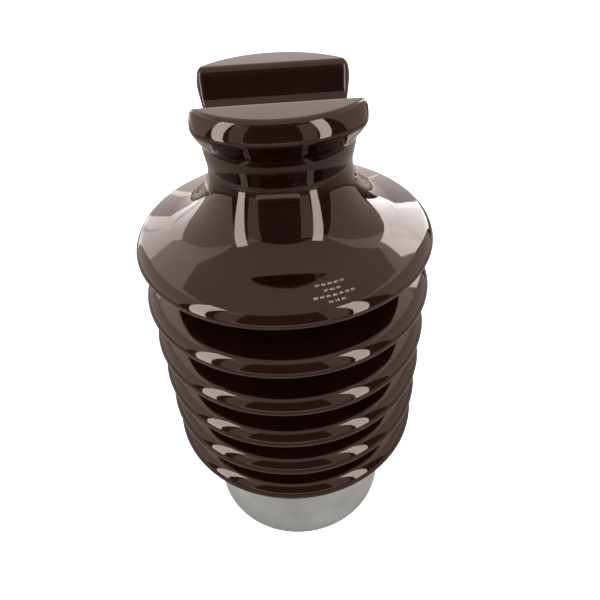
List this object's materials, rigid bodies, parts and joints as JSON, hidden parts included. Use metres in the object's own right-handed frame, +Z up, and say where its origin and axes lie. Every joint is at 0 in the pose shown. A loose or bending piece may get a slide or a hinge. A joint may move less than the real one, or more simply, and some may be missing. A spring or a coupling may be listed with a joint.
{
  "type": "porcelain line post insulator",
  "caption": "Brown-glazed porcelain line post insulator with a grooved tie-top head, wire neck, stacked sheds and a galvanised base cup.",
  "frame": {"origin": "middle of the base cup's flat underside", "axes": "+Z up along the porcelain's axis, +X along the conductor groove, +Y across it"},
  "size_m": [0.164, 0.164, 0.305],
  "materials": {
    "brown_glaze": "chocolate brown glaze, high gloss",
    "porcelain_grit": "coarse fired grit",
    "bitumen": "matt black bituminous coat",
    "cork": "raw cork",
    "portland_cement": "set cement, matt",
    "galvanised_iron": "hot-dip galvanised, dull grey",
    "sealing_compound": "matt sealing compound"
  },
  "bodies": {
    "root": {"porcelain_body": "brown_glaze", "sand_band": "porcelain_grit", "foot_coating": "bitumen", "end_cushion": "cork", "cement_joint": "portland_cement", "cup_coating": "bitumen", "base_cup": "galvanised_iron", "joint_seal": "sealing_compound"}
  },
  "joints": []
}
